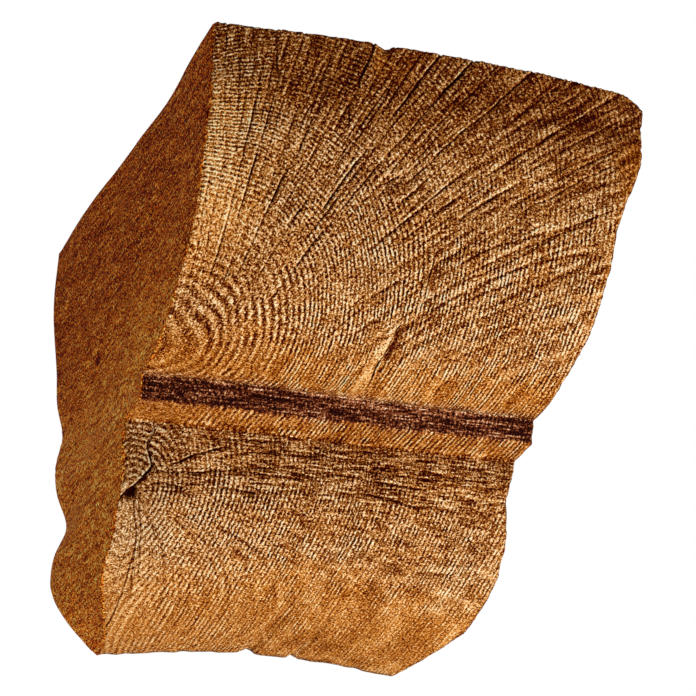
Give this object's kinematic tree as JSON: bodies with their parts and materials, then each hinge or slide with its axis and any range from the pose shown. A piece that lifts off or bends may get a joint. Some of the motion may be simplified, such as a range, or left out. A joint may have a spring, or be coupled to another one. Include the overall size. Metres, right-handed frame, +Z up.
{
  "type": "timber corbel",
  "caption": "Hewn timber bracket with a large quarter round over a small one, built into a wall to carry a beam end.",
  "frame": {"origin": "centre of the flat wall face, where the corbel is built in", "axes": "+Y into the wall (outward normal of the wall face), +Z up to the bearing face, +X to the right when facing the carved front, which looks along -Y"},
  "size_m": [0.2152, 0.2697, 0.2185],
  "materials": {
    "hewn_timber": "weathered, dry, unpainted end grain and long grain"
  },
  "bodies": {
    "root": {"corbel": "hewn_timber"}
  },
  "joints": []
}
